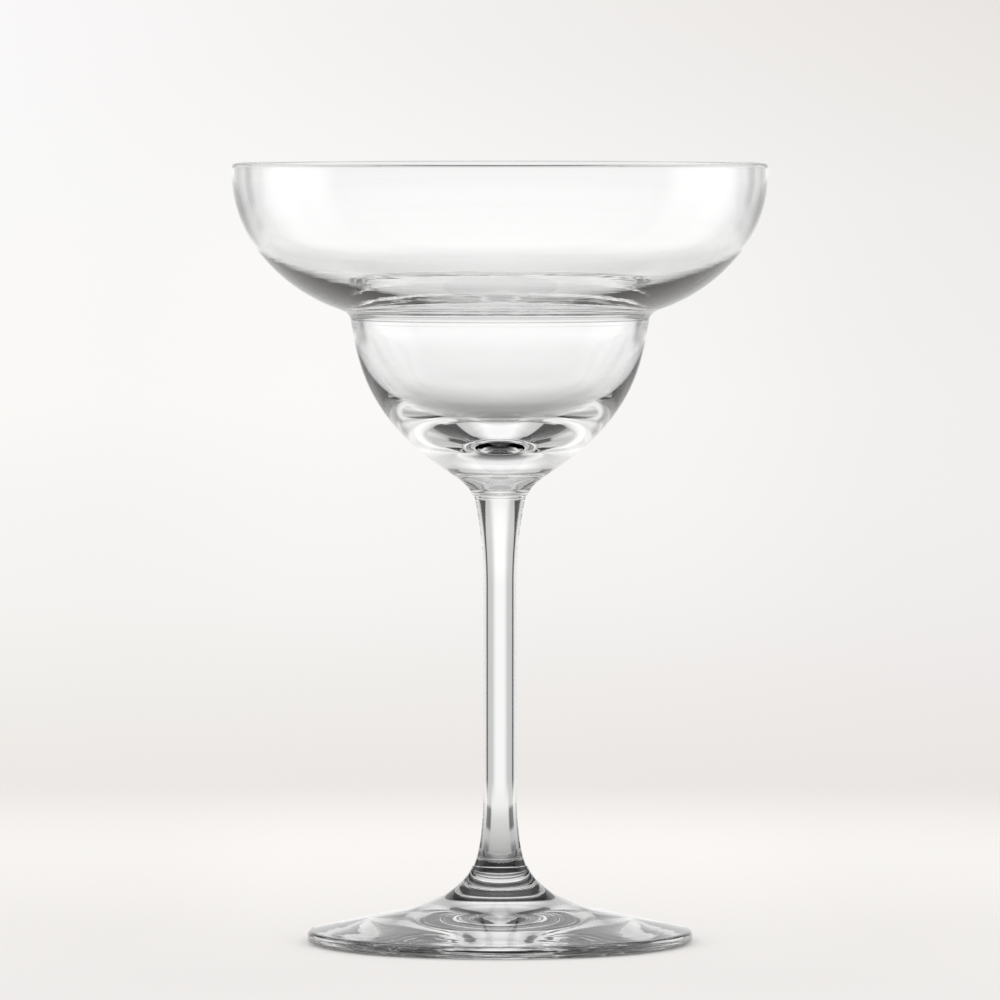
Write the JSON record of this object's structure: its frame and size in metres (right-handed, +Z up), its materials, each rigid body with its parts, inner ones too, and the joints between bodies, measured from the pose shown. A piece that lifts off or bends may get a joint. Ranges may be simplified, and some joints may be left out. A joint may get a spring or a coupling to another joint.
{
  "type": "margarita glass",
  "caption": "Clear stepped margarita glass: a wide shallow dish over a small round cup, on a slim solid stem and a round foot.",
  "frame": {"origin": "middle of the foot, on the surface that it stands on", "axes": "+Z up along the glass's axis, from the foot to the rim; the glass is round, so +X and +Y are free"},
  "size_m": [0.118, 0.118, 0.172],
  "materials": {
    "clear_glass": "fire-polished clear crystal glass"
  },
  "bodies": {
    "root": {"bowl": "clear_glass", "stem": "clear_glass", "foot": "clear_glass"}
  },
  "joints": []
}
